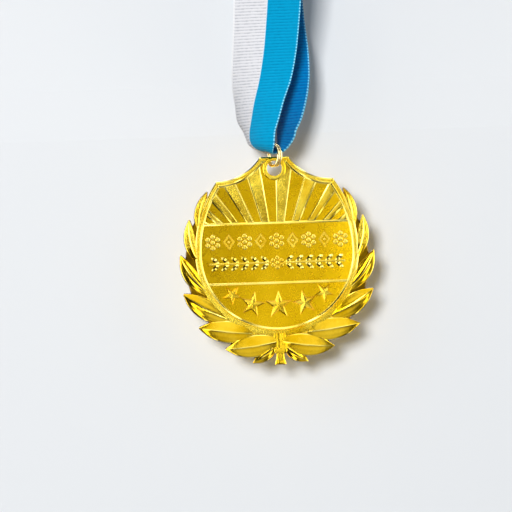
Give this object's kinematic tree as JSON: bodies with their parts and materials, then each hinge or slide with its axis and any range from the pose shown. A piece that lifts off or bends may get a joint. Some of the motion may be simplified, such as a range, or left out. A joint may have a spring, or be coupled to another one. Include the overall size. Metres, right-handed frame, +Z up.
{
  "type": "academic award medallion on a neck ribbon",
  "caption": "Round gold-coloured medallion with sun rays, stars and a laurel wreath, hanging by a split ring from a neck ribbon of two colours.",
  "frame": {"origin": "inside of the ribbon at the top of the loop, where it rests on the neck or peg that it hangs from", "axes": "+Z up, along the hanging loop and the medal; the medal's face looks along -Y; +X is to the right of a person who looks at the face"},
  "size_m": [0.0646, 0.114, 0.4405],
  "materials": {
    "gold_casting": "bright gold plating over a zinc casting, duller in the recesses",
    "ring_wire": "pale gold plated wire",
    "ribbon_cloth": "ribbed ribbon, white in one half and light blue in the other"
  },
  "bodies": {
    "neck_loop": {"neck_ribbon": "ribbon_cloth", "split_ring": "ring_wire"},
    "medal": {"medallion": "gold_casting"}
  },
  "joints": [
    {"name": "medal_swing", "type": "hinge", "parent": "neck_loop", "child": "medal", "pos_m": [0, 0, -0.37432], "axis": [0, 1, 0], "range_deg": [-12, 12]}
  ]
}
